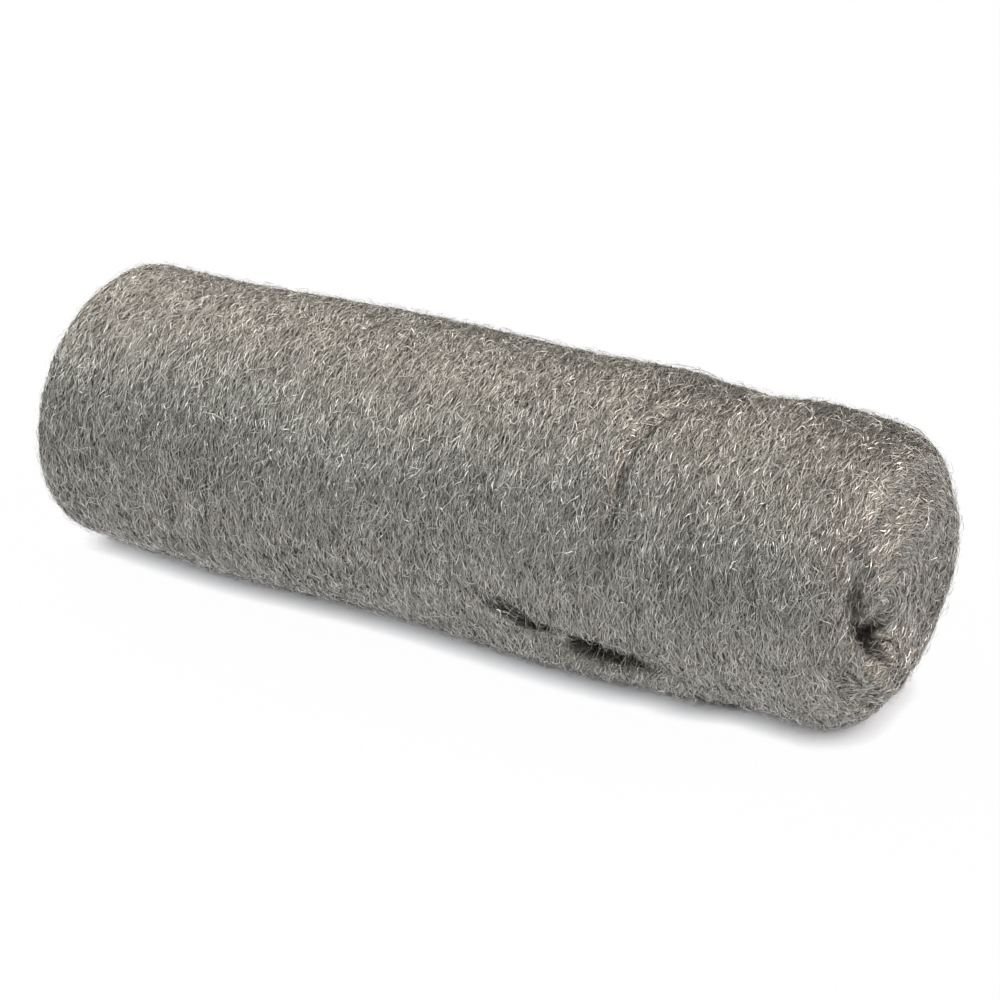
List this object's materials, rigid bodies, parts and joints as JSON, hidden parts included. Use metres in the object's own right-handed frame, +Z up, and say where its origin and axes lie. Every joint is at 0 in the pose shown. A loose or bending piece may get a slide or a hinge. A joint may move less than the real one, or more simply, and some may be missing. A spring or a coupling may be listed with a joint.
{
  "type": "steel wool roll",
  "caption": "Roll of fine steel wool for scouring and polishing, wound from one soft batt of strands and laid on its side.",
  "frame": {"origin": "under the middle of the roll, on the surface that it lies on", "axes": "+X along the roll, towards the end that shows the spiral; -Y towards the side where the free edge shows; +Z up"},
  "size_m": [0.2028, 0.068, 0.0645],
  "materials": {
    "steel_wool": "matted fine steel strands, satin grey with a dull shine along the strands and dark gaps between them"
  },
  "bodies": {
    "root": {"wool_roll": "steel_wool"}
  },
  "joints": []
}
